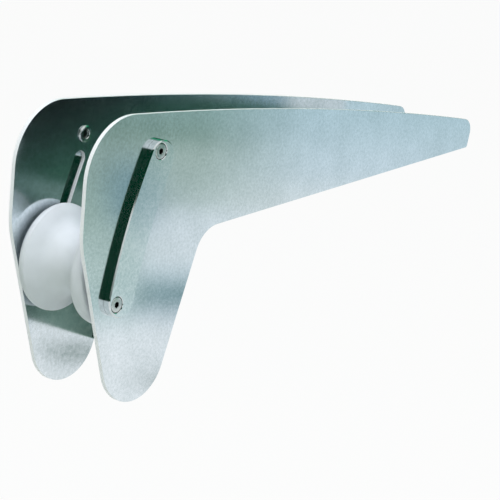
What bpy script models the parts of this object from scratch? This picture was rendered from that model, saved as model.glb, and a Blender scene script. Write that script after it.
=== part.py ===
# Bow roller with long cheeks and a roller that travels in curved side tracks.
# Lengths are in metres. +X runs aft along the deck, +Y to starboard and +Z up. The deck
# face is the plane Z = 0, and the origin is at the middle of the four deck bolts.

import math

import bmesh
import bpy
from mathutils import Vector

# Sheet and channel
CHANNEL = 0.060
SHEET = 0.003
EDGE_ROUND = 0.0004
FACE_GAP = 0.0003

# Side profile of a cheek, with the nose and the toe set back from the brow
TAIL_X = 0.1628
TAIL_RAKE = 0.0066
TAIL_HEIGHT = 0.0211
TAIL_LOW_R = 0.002
TAIL_TOP_R = 0.010
BROW_X = -0.2921
BROW_Z = 0.0135
BROW_R = 0.060
NOSE_SETBACK = 0.0066
NOSE_Z = 0.0964
NOSE_R = 0.0427
TOP_BOW = 0.0075
CROOK_X = -0.169
CROOK_R = 0.0244
TOE_SETBACK = 0.0437
TOE_Z = -0.1708
TOE_R = 0.0315
TOP_SPANS = 10

# Curved track that the axle travels in, set back from the brow
TRACK_SETBACK = 0.0511
TRACK_RISE = 0.0042
TRACK_R = 0.407
TRACK_LEAN = math.radians(156.49)
STOP_TO_SCREW = 0.0187
SLOT_PLAY = 0.0003

# Guide plates over the tracks
GUIDE_WIDTH = 0.025
GUIDE_THICK = 0.005
GUIDE_LENGTH = 0.122
GUIDE_DROP = 0.0019
GUIDE_CHAMFER = 0.0008
GROOVE_DEPTH = 0.003

# Countersunk screws and the low domed nuts inside the cheeks
SCREW_TO_END = 0.0083
SCREW_FORWARD = 0.004
SCREW_D = 0.006
SCREW_HEAD_D = 0.0105
SCREW_SINK = 0.0002
SCREW_END_INSET = 0.0005
SOCKET_ACROSS = 0.004
SOCKET_DEPTH = 0.0022
NUT_HEAD_D = 0.012
NUT_HEAD_THICK = 0.0016
NUT_FACE_D = 0.008
NUT_BARREL_D = 0.0086
NUT_RIM = 0.0004
NUT_SPANS = 3

# Axle, thrust washers, roller and its bushes
AXLE_D = 0.010
AXLE_CHAMFER = 0.001
AXLE_END_PLAY = 0.0004
WASHER_D = 0.021
WASHER_THICK = 0.0016
WASHER_EDGE = 0.0003
RUN_GAP = 0.0003
ROLLER_R = 0.037
RIM_R = 0.0052
WAIST_R = 0.021
BUSH_D = 0.016
BUSH_LENGTH = 0.020

# Floor between the cheeks, with its bolt holes and weld beads
FLOOR_THICK = 0.003
FLOOR_SHORT = 0.004
FLOOR_CORNER = 0.0008
APRON_DROP = 0.094
BOLT_D = 0.0085
BOLT_SPACING_X = 0.180
BOLT_SPACING_Y = 0.032
WELD_LEG = 0.0028
WELD_SHORT = 0.012
WELD_CORNER = 0.0004

# Facets
ARC_STEP = math.radians(9.0)
TRACK_STEP = math.radians(1.2)
HOLE_STEPS = 28
SCREW_STEPS = 28
ROLLER_ARC_STEP = math.radians(13.0)
ROLLER_STEPS = 48
CUT_MARGIN = 0.001

SIDES = {"port": -1.0, "starboard": 1.0}


def new_scene():
    """Empty the scene and make one collection for the parts and one for the cutters."""
    for old in list(bpy.data.objects):
        bpy.data.objects.remove(old, do_unlink=True)
    parts = bpy.data.collections.new("bow_roller")
    cutters = bpy.data.collections.new("bow_roller_cutters")
    bpy.context.scene.collection.children.link(parts)
    bpy.context.scene.collection.children.link(cutters)
    return parts, cutters


def finish(name, colour, roughness, metallic):
    """A plain surface with the piece's own colour, gloss and metal value."""
    material = bpy.data.materials.new(name)
    material.use_nodes = True
    shader = material.node_tree.nodes["Principled BSDF"]
    shader.inputs["Base Color"].default_value = (*colour, 1.0)
    shader.inputs["Roughness"].default_value = roughness
    shader.inputs["Metallic"].default_value = metallic
    return material


def reach(before, corner, after, radius):
    """Distance from a corner to where a rounding of this radius leaves its two sides."""
    to_before = (before - corner).normalized()
    to_after = (after - corner).normalized()
    return radius / math.tan(to_before.angle(to_after) / 2)


def rounded_corner(before, corner, after, radius):
    """Points of the arc that rounds a corner of a flat outline."""
    to_before = (before - corner).normalized()
    to_after = (after - corner).normalized()
    opening = to_before.angle(to_after)
    length = radius / math.tan(opening / 2)
    start = corner + to_before * length
    centre = corner + (to_before + to_after).normalized() * radius / math.sin(opening / 2)
    turn = math.pi - opening
    if to_before.x * to_after.y - to_before.y * to_after.x > 0:
        turn = -turn
    first = start - centre
    count = max(2, math.ceil(abs(turn) / ARC_STEP))
    points = []
    for i in range(count + 1):
        angle = turn * i / count
        cos_a = math.cos(angle)
        sin_a = math.sin(angle)
        points.append(centre + Vector((first.x * cos_a - first.y * sin_a,
                                       first.x * sin_a + first.y * cos_a)))
    return points


def rounded_outline(corners):
    """Closed outline from (point, radius) corners, each rounded by its own radius."""
    points = []
    for i, (corner, radius) in enumerate(corners):
        before = corners[i - 1][0]
        after = corners[(i + 1) % len(corners)][0]
        if radius > 0:
            points.extend(rounded_corner(before, corner, after, radius))
        else:
            points.append(corner)
    return points


def circle(centre, radius, steps):
    """Closed circle as a flat outline."""
    turns = [2 * math.pi * i / steps for i in range(steps)]
    return [centre + Vector((radius * math.cos(a), radius * math.sin(a))) for a in turns]


def track_centre():
    """Centre of the track's arc, from where the middle of the track lies on the cheek."""
    middle = Vector((BROW_X + TRACK_SETBACK, BROW_Z + TRACK_RISE))
    return middle - TRACK_R * Vector((math.cos(TRACK_LEAN), math.sin(TRACK_LEAN)))


def on_track(angle, forward=0.0):
    """Point at an angle about the track's centre, on the track or forward of it."""
    radius = TRACK_R + forward
    return track_centre() + radius * Vector((math.cos(angle), math.sin(angle)))


def angle_down(length, forward=0.0):
    """Angle of the point that lies a length below the middle of the track."""
    return TRACK_LEAN + length / (TRACK_R + forward)


def track_outline(low_angle, high_angle, half_width):
    """Round-ended outline along the track. Angles grow downwards and give the end centres."""
    steps = max(4, math.ceil((low_angle - high_angle) / TRACK_STEP))
    angles = [high_angle + (low_angle - high_angle) * i / steps for i in range(steps + 1)]
    front = [on_track(a, half_width) for a in angles]
    back = [on_track(a, -half_width) for a in reversed(angles)]
    low_end = track_end(on_track(low_angle), half_width, low_angle)
    high_end = track_end(on_track(high_angle), half_width, high_angle + math.pi)
    return front + low_end + back + high_end


def track_end(centre, radius, start):
    """Half circle that closes a track outline, without its first and last point."""
    count = math.ceil(math.pi / ARC_STEP)
    turns = [start + math.pi * i / count for i in range(1, count)]
    return [centre + Vector((radius * math.cos(a), radius * math.sin(a))) for a in turns]


def stops():
    """Angles of the axle at its lower and its upper stop."""
    half_travel = GUIDE_LENGTH / 2 - SCREW_TO_END - STOP_TO_SCREW
    return angle_down(half_travel), angle_down(-half_travel)


def screw_places():
    """Side view places of the lower and the upper screw of a guide."""
    half_spacing = GUIDE_LENGTH / 2 - SCREW_TO_END
    low = angle_down(GUIDE_DROP + half_spacing, SCREW_FORWARD)
    high = angle_down(GUIDE_DROP - half_spacing, SCREW_FORWARD)
    return {"low": on_track(low, SCREW_FORWARD), "high": on_track(high, SCREW_FORWARD)}


def flat_curve(name, loops, half_thickness, edge=0.0):
    """Flat plate standing in the XZ plane: filled outline with holes, both faces out."""
    curve = bpy.data.curves.new(name, "CURVE")
    curve.dimensions = "2D"
    curve.fill_mode = "BOTH"
    curve.extrude = half_thickness - edge
    curve.bevel_depth = edge
    curve.bevel_resolution = 0
    curve.offset = -edge
    for loop in loops:
        spline = curve.splines.new("POLY")
        spline.points.add(len(loop) - 1)
        for point, place in zip(spline.points, loop):
            point.co = (place.x, place.y, 0.0, 1.0)
        spline.use_cyclic_u = True
    plate = bpy.data.objects.new(name, curve)
    plate.rotation_euler = (math.pi / 2, 0.0, 0.0)
    return plate


def as_mesh(plate, collection):
    """Turn a curve plate into a welded mesh object with the same name and place."""
    bpy.context.scene.collection.objects.link(plate)
    bpy.context.view_layer.update()
    graph = bpy.context.evaluated_depsgraph_get()
    mesh = bpy.data.meshes.new_from_object(plate.evaluated_get(graph))
    place = plate.matrix_world.copy()
    name = plate.name
    bpy.data.objects.remove(plate, do_unlink=True)
    work = bmesh.new()
    work.from_mesh(mesh)
    bmesh.ops.remove_doubles(work, verts=work.verts, dist=0.00001)
    bmesh.ops.recalc_face_normals(work, faces=work.faces)
    work.to_mesh(mesh)
    work.free()
    solid = bpy.data.objects.new(name, mesh)
    solid.matrix_world = place
    collection.objects.link(solid)
    return solid


def turned(name, profile, steps, ring):
    """Turned piece about its own Z. The profile gives (radius, height), top to bottom."""
    mesh = bpy.data.meshes.new(name)
    edges = [(i, i + 1) for i in range(len(profile) - 1)]
    if ring:
        edges.append((len(profile) - 1, 0))
    mesh.from_pydata([(radius, 0.0, height) for radius, height in profile], edges, [])
    piece = bpy.data.objects.new(name, mesh)
    screw = piece.modifiers.new("turn", "SCREW")
    screw.steps = steps
    screw.render_steps = steps
    screw.use_merge_vertices = True
    screw.merge_threshold = 0.00001
    screw.use_smooth_shade = True
    return piece


def cut(piece, cutter):
    """Take a cutter out of a piece."""
    boolean = piece.modifiers.new(cutter.name, "BOOLEAN")
    boolean.operation = "DIFFERENCE"
    boolean.object = cutter


def place_cutter(cutter, cutters):
    """File a cutter away from the parts and draw it as a wire."""
    if cutter.name not in cutters.objects:
        cutters.objects.link(cutter)
    cutter.hide_render = True
    cutter.display_type = "WIRE"
    return cutter


def add_part(piece, parts, material):
    """File a finished piece with the parts and give it its surface."""
    if piece.name not in parts.objects:
        parts.objects.link(piece)
    piece.data.materials.clear()
    piece.data.materials.append(material)
    if piece.type == "MESH":
        piece.data.shade_smooth()
        piece.data.set_sharp_from_angle(angle=math.radians(35))
    return piece


def cheek_corners():
    """Corners of the cheek that the floor and its apron also follow."""
    crook = Vector((CROOK_X, 0.0))
    toe = Vector((BROW_X + TOE_SETBACK, TOE_Z))
    tail_low = Vector((TAIL_X, 0.0))
    return tail_low, crook, toe


def top_edge(tail_top, nose):
    """Points of the shallow arc over the cheek, from the tail to the nose."""
    chord = nose - tail_top
    half = chord.length / 2
    radius = (half * half + TOP_BOW * TOP_BOW) / (2 * TOP_BOW)
    along = chord.normalized()
    up = Vector((along.y, -along.x))
    middle = (tail_top + nose) / 2
    centre = middle + up * (TOP_BOW - radius)
    swing = math.asin(half / radius)
    points = []
    for i in range(TOP_SPANS + 1):
        angle = swing * (2 * i / TOP_SPANS - 1)
        points.append(centre + up * radius * math.cos(angle) + along * radius * math.sin(angle))
    return points


def cheek_outline():
    """Side profile: straight deck edge, raked tail, bowed top, round nose and toe."""
    tail_low, crook, toe = cheek_corners()
    tail_top = Vector((TAIL_X + TAIL_RAKE, TAIL_HEIGHT))
    nose = Vector((BROW_X + NOSE_SETBACK, NOSE_Z))
    brow = Vector((BROW_X, BROW_Z))
    top = top_edge(tail_top, nose)
    tail_reach = reach(tail_low, tail_top, top[1], TAIL_TOP_R)
    nose_reach = reach(top[-2], nose, brow, NOSE_R)
    kept = [p for p in top[1:-1]
            if (p - tail_top).length > tail_reach and (p - nose).length > nose_reach]
    corners = [(tail_low, TAIL_LOW_R), (tail_top, TAIL_TOP_R)]
    corners.extend((point, 0.0) for point in kept)
    corners.extend([(nose, NOSE_R), (brow, BROW_R), (toe, TOE_R), (crook, CROOK_R)])
    return rounded_outline(corners)


def build_cheeks(parts, steel):
    """Two polished side plates, each cut with the track slot and two nut holes."""
    slot = track_outline(*stops(), AXLE_D / 2 + SLOT_PLAY)
    hole_r = NUT_BARREL_D / 2 + FACE_GAP
    holes = [circle(place, hole_r, HOLE_STEPS) for place in screw_places().values()]
    for side, sign in SIDES.items():
        cheek = flat_curve(side + "_cheek", [cheek_outline(), slot, *holes], SHEET / 2, EDGE_ROUND)
        cheek.location.y = sign * (CHANNEL + SHEET) / 2
        add_part(cheek, parts, steel)


def guide_inner_face():
    """Distance from the middle plane to the face of a guide that lies on its cheek."""
    return CHANNEL / 2 + SHEET + FACE_GAP


def screw_cutter(name, low_end):
    """Countersunk hole through a guide, drawn from its outer face inwards."""
    head_r = SCREW_HEAD_D / 2 + FACE_GAP
    shank_r = SCREW_D / 2 + FACE_GAP
    land = -2 * SCREW_SINK - FACE_GAP / 2
    profile = [(0.0, CUT_MARGIN), (head_r, CUT_MARGIN), (head_r, land),
               (shank_r, land - (head_r - shank_r)), (shank_r, low_end), (0.0, low_end)]
    return turned(name, profile, SCREW_STEPS, ring=False)


def turn_outward(piece, sign, place, depth):
    """Point a turned piece's top away from the middle plane, with its zero at a depth."""
    piece.rotation_euler = (-sign * math.pi / 2, 0.0, 0.0)
    piece.location = (place.x, sign * depth, place.y)


def build_guides(parts, cutters, steel):
    """Curved bars with a blind groove that carries the axle's ends."""
    half = (GUIDE_LENGTH - GUIDE_WIDTH) / 2
    outline = track_outline(angle_down(GUIDE_DROP + half), angle_down(GUIDE_DROP - half),
                            GUIDE_WIDTH / 2)
    groove = track_outline(*stops(), AXLE_D / 2 + SLOT_PLAY)
    inner = guide_inner_face()
    outer = inner + GUIDE_THICK
    for side, sign in SIDES.items():
        plate = flat_curve(side + "_guide", [outline], GUIDE_THICK / 2)
        plate.location.y = sign * (inner + outer) / 2
        guide = as_mesh(plate, parts)
        bevel = guide.modifiers.new("edges", "BEVEL")
        bevel.width = GUIDE_CHAMFER
        bevel.segments = 1
        bevel.limit_method = "ANGLE"
        bevel.angle_limit = math.radians(60)
        trough = flat_curve(side + "_groove", [groove], (GROOVE_DEPTH + CUT_MARGIN) / 2)
        trough.location.y = sign * (inner + (GROOVE_DEPTH - CUT_MARGIN) / 2)
        cut(guide, place_cutter(as_mesh(trough, cutters), cutters))
        for level, place in screw_places().items():
            hole = screw_cutter(f"{side}_{level}_screw_hole", -GUIDE_THICK - CUT_MARGIN)
            turn_outward(hole, sign, place, outer)
            cut(guide, place_cutter(hole, cutters))
        add_part(guide, parts, steel)


def build_screws(parts, cutters, steel):
    """Countersunk socket screws that hold the guides, one at each end of a track."""
    head_r = SCREW_HEAD_D / 2
    shank_r = SCREW_D / 2
    top = guide_inner_face() + GUIDE_THICK - SCREW_SINK
    end = CHANNEL / 2 - FACE_GAP - NUT_HEAD_THICK + SCREW_END_INSET
    length = top - end
    rim = SCREW_SINK
    profile = [(0.0, 0.0), (head_r - rim, 0.0), (head_r, -rim),
               (shank_r, -rim - (head_r - shank_r)), (shank_r, -length + shank_r / 4),
               (shank_r * 3 / 4, -length), (0.0, -length)]
    for side, sign in SIDES.items():
        for level, place in screw_places().items():
            screw = turned(f"{side}_{level}_screw", profile, SCREW_STEPS, ring=False)
            turn_outward(screw, sign, place, top)
            socket = bpy.data.meshes.new(f"{side}_{level}_socket")
            work = bmesh.new()
            across = SOCKET_ACROSS / math.sqrt(3)
            bmesh.ops.create_cone(work, cap_ends=True, segments=6, radius1=across,
                                  radius2=across, depth=SOCKET_DEPTH * 2)
            work.to_mesh(socket)
            work.free()
            cutter = bpy.data.objects.new(socket.name, socket)
            turn_outward(cutter, sign, place, top)
            cut(screw, place_cutter(cutter, cutters))
            add_part(screw, parts, steel)


def build_nuts(parts, steel):
    """Low domed nuts that pass through the cheeks from inside and take the screws."""
    head_r = NUT_HEAD_D / 2
    barrel_r = NUT_BARREL_D / 2
    bore_r = SCREW_D / 2 + FACE_GAP
    seat = CHANNEL / 2 - FACE_GAP
    barrel_end = SHEET + FACE_GAP
    face_r = NUT_FACE_D / 2
    rise = NUT_HEAD_THICK - NUT_RIM
    turns = [math.pi / 2 * i / NUT_SPANS for i in range(NUT_SPANS + 1)]
    dome = [(face_r + (head_r - face_r) * math.cos(t), -NUT_RIM - rise * math.sin(t))
            for t in turns]
    profile = [(bore_r, barrel_end), (barrel_r, barrel_end), (barrel_r, 0.0), (head_r, 0.0),
               *dome, (bore_r, -NUT_HEAD_THICK)]
    for side, sign in SIDES.items():
        for level, place in screw_places().items():
            nut = turned(f"{side}_{level}_nut", profile, SCREW_STEPS, ring=True)
            turn_outward(nut, sign, place, seat)
            add_part(nut, parts, steel)


def floor_profile():
    """Side view of the floor: flat on the deck, then bent down the back of the legs."""
    tail_low, crook, toe = cheek_corners()
    down = (toe - crook).normalized()
    inward = Vector((down.y, -down.x))
    tail_end = tail_low.x - FLOOR_SHORT
    apron_end = crook + down * APRON_DROP
    slip = (FLOOR_THICK - inward.y * FLOOR_THICK) / down.y
    inner_crook = crook + inward * FLOOR_THICK + down * slip
    corners = [(Vector((tail_end, 0.0)), FLOOR_CORNER),
               (Vector((tail_end, FLOOR_THICK)), FLOOR_CORNER),
               (inner_crook, CROOK_R + FLOOR_THICK),
               (apron_end + inward * FLOOR_THICK, FLOOR_CORNER),
               (apron_end, FLOOR_CORNER),
               (crook, CROOK_R)]
    return rounded_outline(corners)


def build_floor(parts, cutters, steel):
    """Bent floor plate between the cheeks, drilled for four deck bolts."""
    strip = flat_curve("floor_plate", [floor_profile()], CHANNEL / 2 - FACE_GAP)
    floor = as_mesh(strip, parts)
    for i, x in enumerate((-BOLT_SPACING_X / 2, BOLT_SPACING_X / 2)):
        for j, y in enumerate((-BOLT_SPACING_Y / 2, BOLT_SPACING_Y / 2)):
            mesh = bpy.data.meshes.new(f"bolt_hole_{i}_{j}")
            work = bmesh.new()
            bmesh.ops.create_cone(work, cap_ends=True, segments=HOLE_STEPS, radius1=BOLT_D / 2,
                                  radius2=BOLT_D / 2, depth=FLOOR_THICK + 2 * CUT_MARGIN)
            work.to_mesh(mesh)
            work.free()
            drill = bpy.data.objects.new(mesh.name, mesh)
            drill.location = (x, y, FLOOR_THICK / 2)
            cut(floor, place_cutter(drill, cutters))
    add_part(floor, parts, steel)


def build_welds(parts, steel):
    """Long fillet welds in the two corners between the floor and the cheeks."""
    start = CROOK_X + CROOK_R + WELD_SHORT
    end = TAIL_X - FLOOR_SHORT - WELD_SHORT
    for side, sign in SIDES.items():
        wall = sign * (CHANNEL / 2 - FACE_GAP)
        foot = FLOOR_THICK + FACE_GAP
        corners = [(Vector((wall, foot)), WELD_CORNER),
                   (Vector((wall, foot + WELD_LEG)), WELD_CORNER),
                   (Vector((wall - sign * WELD_LEG, foot)), WELD_CORNER)]
        bead = flat_curve(side + "_weld", [rounded_outline(corners)], (end - start) / 2)
        bead.rotation_euler = (math.pi / 2, 0.0, math.pi / 2)
        bead.location.x = (start + end) / 2
        add_part(bead, parts, steel)


def washer_inner_face():
    """Distance from the middle plane to the roller side of a thrust washer."""
    return CHANNEL / 2 - FACE_GAP - WASHER_THICK


def roller_profile():
    """Spool section: flat ends and round rims that run smoothly into one curved waist."""
    half = washer_inner_face() - RUN_GAP
    bore_r = BUSH_D / 2 + FACE_GAP
    rim_z = half - RIM_R
    rim_r = ROLLER_R - RIM_R
    step_in = WAIST_R - rim_r
    waist_arc = (step_in ** 2 + rim_z ** 2 - RIM_R ** 2) / (2 * (RIM_R - step_in))
    swing = math.asin(rim_z / (waist_arc + RIM_R))
    rim_turn = math.pi - swing
    rim_count = math.ceil(rim_turn / ROLLER_ARC_STEP)
    waist_count = math.ceil(2 * swing / ROLLER_ARC_STEP)
    rim = [(rim_r + RIM_R * math.sin(t), rim_z + RIM_R * math.cos(t))
           for t in (rim_turn * i / rim_count for i in range(rim_count + 1))]
    waist = [(WAIST_R + waist_arc - waist_arc * math.cos(t), waist_arc * math.sin(t))
             for t in (swing - 2 * swing * i / waist_count for i in range(1, waist_count))]
    other_rim = [(radius, -height) for radius, height in reversed(rim)]
    return [(bore_r, half), *rim, *waist, *other_rim, (bore_r, -half)]


def lathe_ring(name, inner_r, outer_r, half, edge, steps):
    """Plain turned ring with chamfered outer edges."""
    profile = [(inner_r, half), (outer_r - edge, half), (outer_r, half - edge),
               (outer_r, edge - half), (outer_r - edge, -half), (inner_r, -half)]
    return turned(name, profile, steps, ring=True)


def carried_by(piece, empty, y):
    """Hang a turned piece on an empty, with its axis across the channel."""
    piece.parent = empty
    piece.rotation_euler = (math.pi / 2, 0.0, 0.0)
    piece.location = (0.0, y, 0.0)


def build_moving(parts, steel, nylon, acetal):
    """Axle with its washers on the track pivot, and the roller turning on the axle."""
    low_stop, _ = stops()
    centre = track_centre()
    rest = on_track(low_stop) - centre
    pivot = bpy.data.objects.new("track_pivot", None)
    pivot.location = (centre.x, 0.0, centre.y)
    parts.objects.link(pivot)
    seat = bpy.data.objects.new("axle_line", None)
    seat.parent = pivot
    seat.location = (rest.x, 0.0, rest.y)
    parts.objects.link(seat)

    half = guide_inner_face() + GROOVE_DEPTH - AXLE_END_PLAY
    axle_r = AXLE_D / 2
    profile = [(0.0, half), (axle_r - AXLE_CHAMFER, half), (axle_r, half - AXLE_CHAMFER),
               (axle_r, AXLE_CHAMFER - half), (axle_r - AXLE_CHAMFER, -half), (0.0, -half)]
    axle = turned("axle", profile, SCREW_STEPS, ring=False)
    carried_by(axle, seat, 0.0)
    add_part(axle, parts, steel)

    bore_r = axle_r + RUN_GAP
    for side, sign in SIDES.items():
        washer = lathe_ring(side + "_washer", bore_r, WASHER_D / 2, WASHER_THICK / 2,
                            WASHER_EDGE, SCREW_STEPS)
        carried_by(washer, seat, sign * (washer_inner_face() + WASHER_THICK / 2))
        add_part(washer, parts, acetal)

    roller = turned("roller", roller_profile(), ROLLER_STEPS, ring=True)
    carried_by(roller, seat, 0.0)
    add_part(roller, parts, nylon)

    roller_half = washer_inner_face() - RUN_GAP
    for side, sign in SIDES.items():
        bush = lathe_ring(side + "_bush", bore_r, BUSH_D / 2, BUSH_LENGTH / 2,
                          WASHER_EDGE, SCREW_STEPS)
        carried_by(bush, seat, sign * (roller_half - BUSH_LENGTH / 2))
        add_part(bush, parts, acetal)


def build():
    """Put the whole bow roller together."""
    parts, cutters = new_scene()
    sheet_steel = finish("brushed stainless sheet", (0.60, 0.65, 0.64), 0.30, 1.0)
    bright_steel = finish("polished stainless bar", (0.66, 0.69, 0.68), 0.12, 1.0)
    fixing_steel = finish("stainless fixings", (0.52, 0.55, 0.54), 0.25, 1.0)
    weld_steel = finish("brushed weld metal", (0.50, 0.52, 0.51), 0.40, 1.0)
    nylon = finish("white nylon", (0.86, 0.87, 0.86), 0.42, 0.0)
    acetal = finish("natural acetal", (0.80, 0.80, 0.76), 0.45, 0.0)
    build_cheeks(parts, sheet_steel)
    build_floor(parts, cutters, sheet_steel)
    build_welds(parts, weld_steel)
    build_guides(parts, cutters, bright_steel)
    build_screws(parts, cutters, fixing_steel)
    build_nuts(parts, fixing_steel)
    build_moving(parts, fixing_steel, nylon, acetal)


build()
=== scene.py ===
import math

import bpy
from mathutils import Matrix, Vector


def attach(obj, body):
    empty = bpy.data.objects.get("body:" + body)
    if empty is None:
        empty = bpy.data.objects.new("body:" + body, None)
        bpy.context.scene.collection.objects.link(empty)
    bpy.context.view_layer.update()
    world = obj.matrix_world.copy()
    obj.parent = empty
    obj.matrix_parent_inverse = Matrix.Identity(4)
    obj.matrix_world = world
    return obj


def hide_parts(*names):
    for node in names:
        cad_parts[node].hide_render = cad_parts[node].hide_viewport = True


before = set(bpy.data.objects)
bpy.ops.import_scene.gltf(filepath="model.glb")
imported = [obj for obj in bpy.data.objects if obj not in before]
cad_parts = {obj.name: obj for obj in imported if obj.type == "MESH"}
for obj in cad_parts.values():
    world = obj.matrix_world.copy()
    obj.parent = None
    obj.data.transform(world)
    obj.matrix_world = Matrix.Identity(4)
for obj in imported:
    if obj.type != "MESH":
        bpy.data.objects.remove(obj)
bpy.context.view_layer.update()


# The two cheeks are laser-cut stainless sheet, satin polished on both faces. Each is a flat
# plate with a long arm, a round nose and a leg, and a curved slot for the axle. Its edges are
# ground round and coloured near white, partly for the grinding and partly as a painted highlight.
CHANNEL = 0.060
SHEET = 0.003
SHEET_EDGE = 0.0005
TAIL_LOW = Vector((0.1628, 0.0, 0.0))
TAIL_LOW_R = 0.002
TAIL_TOP = Vector((0.1694, 0.0, 0.0211))
TAIL_TOP_R = 0.010
NOSE = Vector((-0.2855, 0.0, 0.0964))
NOSE_R = 0.0427
TOP_BOW = 0.0075
BROW = Vector((-0.2921, 0.0, 0.0135))
BROW_R = 0.060
TOE = Vector((-0.2484, 0.0, -0.1708))
TOE_R = 0.0315
CROOK = Vector((-0.169, 0.0, 0.0))
CROOK_R = 0.0244
TRACK_R = 0.407
TRACK_LEAN = math.radians(156.49)
TRACK_MIDDLE = BROW + Vector((0.0511, 0.0, 0.0042))
TRACK = TRACK_MIDDLE - TRACK_R * Vector((math.cos(TRACK_LEAN), 0.0, math.sin(TRACK_LEAN)))
HALF_TRAVEL = 0.034
LOW_STOP = TRACK_LEAN + HALF_TRAVEL / TRACK_R
HIGH_STOP = TRACK_LEAN - HALF_TRAVEL / TRACK_R
SLOT_HALF = 0.0053
SCREW_FORWARD = 0.004
SCREW_DROP = 0.0019
HALF_SCREWS = 0.0527
LOW_SCREW = TRACK_LEAN + (SCREW_DROP + HALF_SCREWS) / (TRACK_R + SCREW_FORWARD)
HIGH_SCREW = TRACK_LEAN + (SCREW_DROP - HALF_SCREWS) / (TRACK_R + SCREW_FORWARD)
NUT_HOLE_R = 0.0046
SAME_POINT = 0.000003
FINE_ARC = math.radians(3)
TRACK_ARC = math.radians(0.8)
END_ARC = math.radians(6)
SIDES = {"port": -1.0, "starboard": 1.0}
ACROSS = Vector((0.0, 1.0, 0.0))


def deselect():
    """Leave edit mode with nothing selected, so that the next operator acts alone."""
    if bpy.context.mode != "OBJECT":
        bpy.ops.object.mode_set(mode="OBJECT")
    bpy.ops.object.select_all(action="DESELECT")


def pick(piece):
    """Select one piece alone and make it the active one."""
    deselect()
    bpy.context.view_layer.objects.active = piece
    piece.select_set(True)


def start_line(name, place):
    """A small plane drawn together to one point, from which an outline is extruded."""
    deselect()
    bpy.ops.mesh.primitive_plane_add(size=0.001, location=place)
    piece = bpy.context.object
    piece.name = name
    piece.data.name = name
    bpy.ops.object.transform_apply(location=True, rotation=False, scale=False)
    bpy.ops.object.mode_set(mode="EDIT")
    bpy.ops.mesh.select_mode(type="VERT")
    bpy.ops.mesh.select_all(action="SELECT")
    bpy.ops.mesh.merge(type="CENTER")
    return piece, Vector(place)


def line_to(now, place):
    """Extrude the end of the outline straight to a place."""
    bpy.ops.mesh.extrude_vertices_move(TRANSFORM_OT_translate={"value": place - now})
    return place


def arc_about(now, centre, axis, angle, step=FINE_ARC):
    """Spin the end of the outline about an axis. Spin counts its angle the left-handed way."""
    count = max(2, math.ceil(angle / step))
    bpy.ops.mesh.spin(steps=count, angle=-angle, center=centre, axis=axis)
    along = (now - centre).dot(axis) * axis
    across = now - centre - along
    return centre + along + across * math.cos(angle) + axis.cross(across) * math.sin(angle)


def round_corner(now, before, corner, after, radius, step=FINE_ARC):
    """Run up to a corner and round it, tangent to the lines on both sides."""
    back = (before - corner).normalized()
    ahead = (after - corner).normalized()
    half = back.angle(ahead) / 2
    start = corner + back * radius / math.tan(half)
    centre = corner + (back + ahead).normalized() * radius / math.sin(half)
    now = line_to(now, start)
    axis = back.cross(start - centre).normalized()
    return arc_about(now, centre, axis, math.pi - 2 * half, step)


def fill_outline(thickness):
    """Close the outline with a face and pull it to its thickness."""
    bpy.ops.mesh.select_all(action="SELECT")
    bpy.ops.mesh.remove_doubles(threshold=SAME_POINT)
    bpy.ops.mesh.edge_face_add()
    bpy.ops.mesh.extrude_region_move(TRANSFORM_OT_translate={"value": thickness})
    bpy.ops.mesh.select_all(action="SELECT")
    bpy.ops.mesh.normals_make_consistent(inside=False)
    bpy.ops.object.mode_set(mode="OBJECT")


def on_track(angle, forward=0.0, depth=0.0):
    """Point at an angle about the track's centre, forward of the track, at a depth across."""
    radius = TRACK_R + forward
    return TRACK + Vector((radius * math.cos(angle), depth, radius * math.sin(angle)))


def along_track(name, low, high, half_width, near, far):
    """Plate or cutter that follows the track, with round ends, from one depth to another."""
    centre = TRACK + near * ACROSS
    piece, now = start_line(name, on_track(high, half_width, near))
    now = arc_about(now, centre, -ACROSS, low - high, TRACK_ARC)
    now = arc_about(now, on_track(low, 0.0, near), -ACROSS, math.pi, END_ARC)
    now = arc_about(now, centre, ACROSS, low - high, TRACK_ARC)
    arc_about(now, on_track(high, 0.0, near), -ACROSS, math.pi, END_ARC)
    fill_outline((far - near) * ACROSS)
    return piece


def drill(piece, *cutters):
    """Cut holes with finished cutters, which are then thrown away."""
    for cutter in cutters:
        pick(piece)
        boolean = piece.modifiers.new("hole", "BOOLEAN")
        boolean.operation = "DIFFERENCE"
        boolean.object = cutter
        bpy.ops.object.modifier_apply(modifier=boolean.name)
        bpy.data.objects.remove(cutter, do_unlink=True)


def round_edges(piece, width, segments=3, sharper_than=35.0):
    """Round every edge that is sharper than an angle, and keep the flats flat in shading."""
    pick(piece)
    bpy.ops.object.shade_smooth_by_angle(angle=math.radians(sharper_than))
    bevel = piece.modifiers.new("rounded edges", "BEVEL")
    bevel.width = width
    bevel.segments = segments
    bevel.limit_method = "ANGLE"
    bevel.angle_limit = math.radians(sharper_than)
    bevel.harden_normals = True
    bpy.ops.object.modifier_apply(modifier=bevel.name)


def settle_shading(piece, sharper_than=35.0):
    """Flats stay flat and rounds stay smooth in shading after holes have been cut."""
    pick(piece)
    bpy.ops.mesh.customdata_custom_splitnormals_clear()
    bpy.ops.object.shade_smooth_by_angle(angle=math.radians(sharper_than))
    weigh = piece.modifiers.new("flat faces", "WEIGHTED_NORMAL")
    weigh.keep_sharp = True
    bpy.ops.object.modifier_apply(modifier=weigh.name)


def round_bar(name, place, radius, length, axis, facets=64):
    """Plain round bar across the channel or upright, used as a drill."""
    deselect()
    turn = Vector((0.0, 0.0, 1.0)).rotation_difference(axis).to_euler()
    bpy.ops.mesh.primitive_cylinder_add(vertices=facets, radius=radius, depth=length,
                                        location=place, rotation=turn)
    bar = bpy.context.object
    bar.name = name
    bpy.ops.object.transform_apply(location=True, rotation=True, scale=True)
    return bar


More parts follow.
